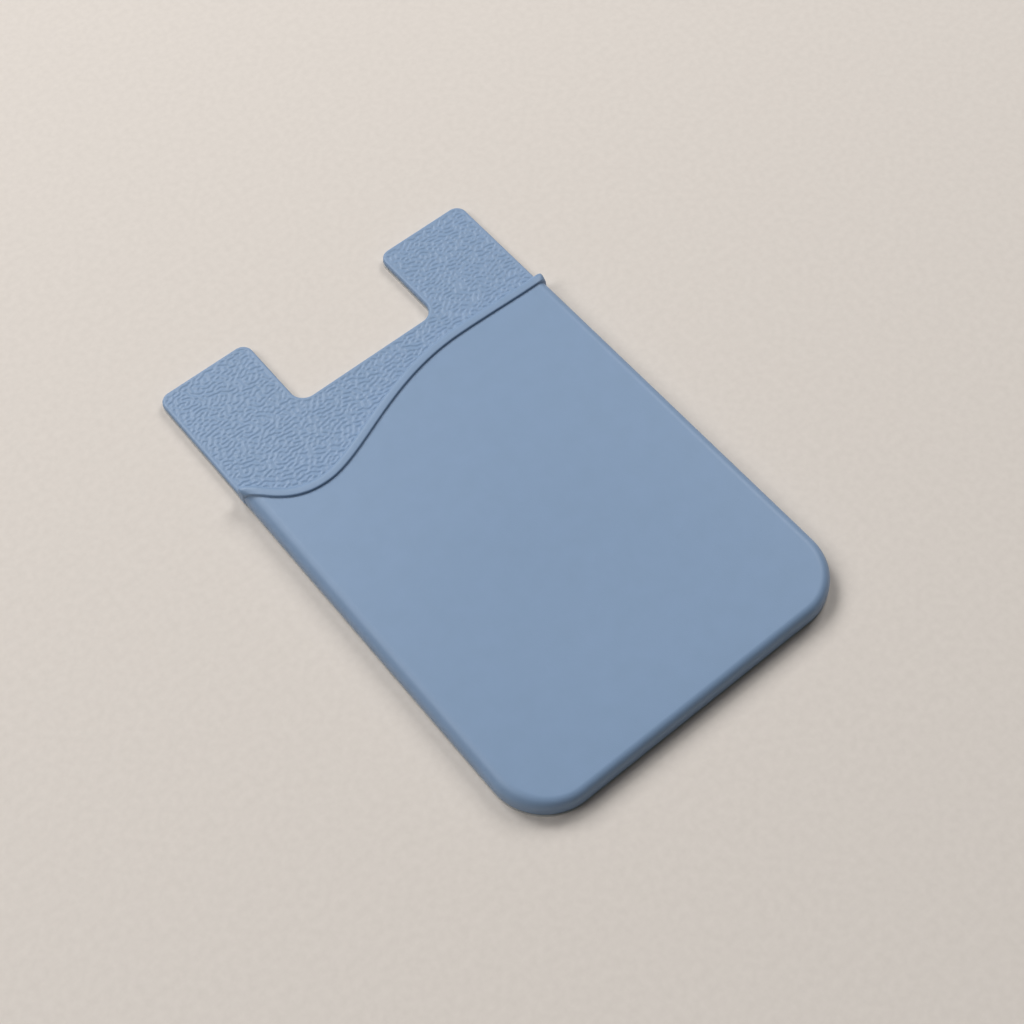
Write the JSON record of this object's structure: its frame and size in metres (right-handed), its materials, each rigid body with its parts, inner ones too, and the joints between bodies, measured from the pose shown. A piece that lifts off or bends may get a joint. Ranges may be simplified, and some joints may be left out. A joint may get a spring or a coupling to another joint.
{
  "type": "stick-on phone card holder",
  "caption": "Blue silicone card pocket for the back of a phone, with a thumb notch between two ears, a curved beaded mouth and an adhesive back under a paper liner.",
  "frame": {"origin": "centre of the holder in plan, on the underside of the release liner", "axes": "+X to the right seen from the front with the ears up, +Y along the length towards the ears and the mouth, +Z out of the front panel, away from the phone"},
  "size_m": [0.0574, 0.0886, 0.0038],
  "materials": {
    "silicone": "matte moulded silicone, leather grain on the back plate",
    "adhesive": "translucent pressure-sensitive adhesive",
    "liner_paper": "coated white release paper, satin"
  },
  "bodies": {
    "root": {"card_pocket": "silicone", "adhesive_sheet": "adhesive", "release_liner": "liner_paper"}
  },
  "joints": []
}
